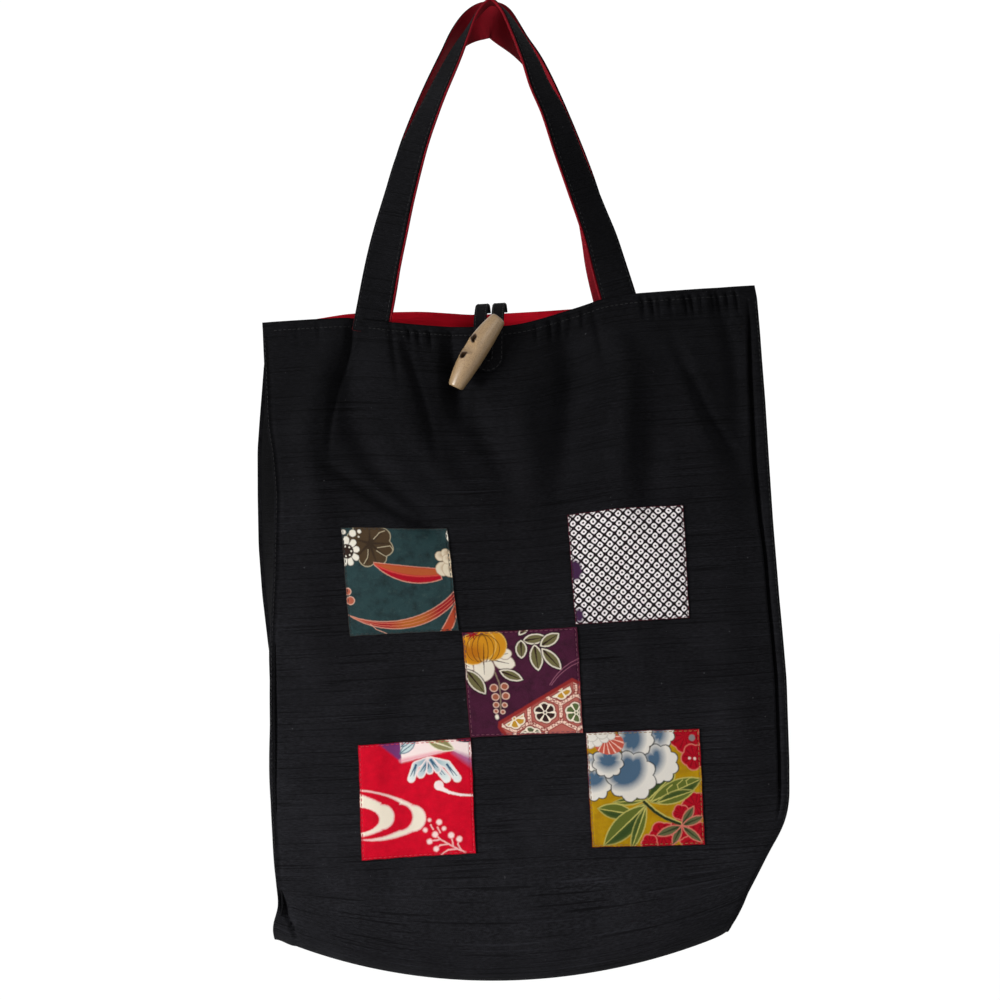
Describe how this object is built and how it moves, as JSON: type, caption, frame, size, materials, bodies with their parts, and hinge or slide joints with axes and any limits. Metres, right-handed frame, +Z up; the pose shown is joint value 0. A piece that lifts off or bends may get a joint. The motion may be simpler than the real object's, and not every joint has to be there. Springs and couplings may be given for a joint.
{
  "type": "tote bag",
  "caption": "Tall fabric tote bag with side gussets, a red lining, square print patches on the front, slim lined handles and a wooden toggle with a fabric loop.",
  "frame": {"origin": "where the handles' crown rests on what the bag hangs from", "axes": "+X to the right seen from the front, +Y out of the flat back, +Z up along the hanging bag"},
  "size_m": [0.326, 0.0714, 0.6002],
  "materials": {
    "black_cotton": "matte slubbed weave",
    "red_cotton": "matte plain weave",
    "teal_print": "printed cotton",
    "kanoko_print": "printed cotton",
    "plum_print": "printed cotton",
    "red_print": "printed cotton",
    "mustard_print": "printed cotton",
    "toggle_wood": "polished"
  },
  "bodies": {
    "bag": {"front_panel": "black_cotton", "back_panel": "black_cotton", "left_gusset": "black_cotton", "right_gusset": "black_cotton", "front_lining": "red_cotton", "back_lining": "red_cotton", "left_gusset_lining": "red_cotton", "right_gusset_lining": "red_cotton", "teal_patch": "teal_print", "kanoko_patch": "kanoko_print", "plum_patch": "plum_print", "red_patch": "red_print", "mustard_patch": "mustard_print"},
    "front_handle": {"front_handle_outer": "black_cotton", "front_handle_lining": "red_cotton"},
    "rear_handle": {"rear_handle_outer": "black_cotton", "rear_handle_lining": "red_cotton"},
    "loop": {"closure_loop": "black_cotton"},
    "toggle": {"toggle": "toggle_wood", "toggle_cord": "black_cotton"}
  },
  "joints": [
    {"name": "front_handle_swing", "type": "hinge", "parent": "bag", "child": "front_handle", "pos_m": [-0.0795, -0.00967, -0.17156], "axis": [0.9997, -0.0023, 0.0233], "range_deg": [0, 160]},
    {"name": "rear_handle_swing", "type": "hinge", "parent": "bag", "child": "rear_handle", "pos_m": [-0.0795, 0.0323, -0.17156], "axis": [-0.9997, 0, -0.0233], "range_deg": [0, 160]},
    {"name": "loop_swing", "type": "hinge", "parent": "bag", "child": "loop", "pos_m": [-0.0132, 0.0307, -0.1747], "axis": [-1, 0, 0], "range_deg": [0, 150], "deforming": ["closure_loop"]},
    {"name": "toggle_turn", "type": "hinge", "parent": "bag", "child": "toggle", "pos_m": [-0.0157, -0.01041, -0.20063], "axis": [0.0042, -0.9988, 0.0492], "range_deg": [-60, 90]}
  ]
}
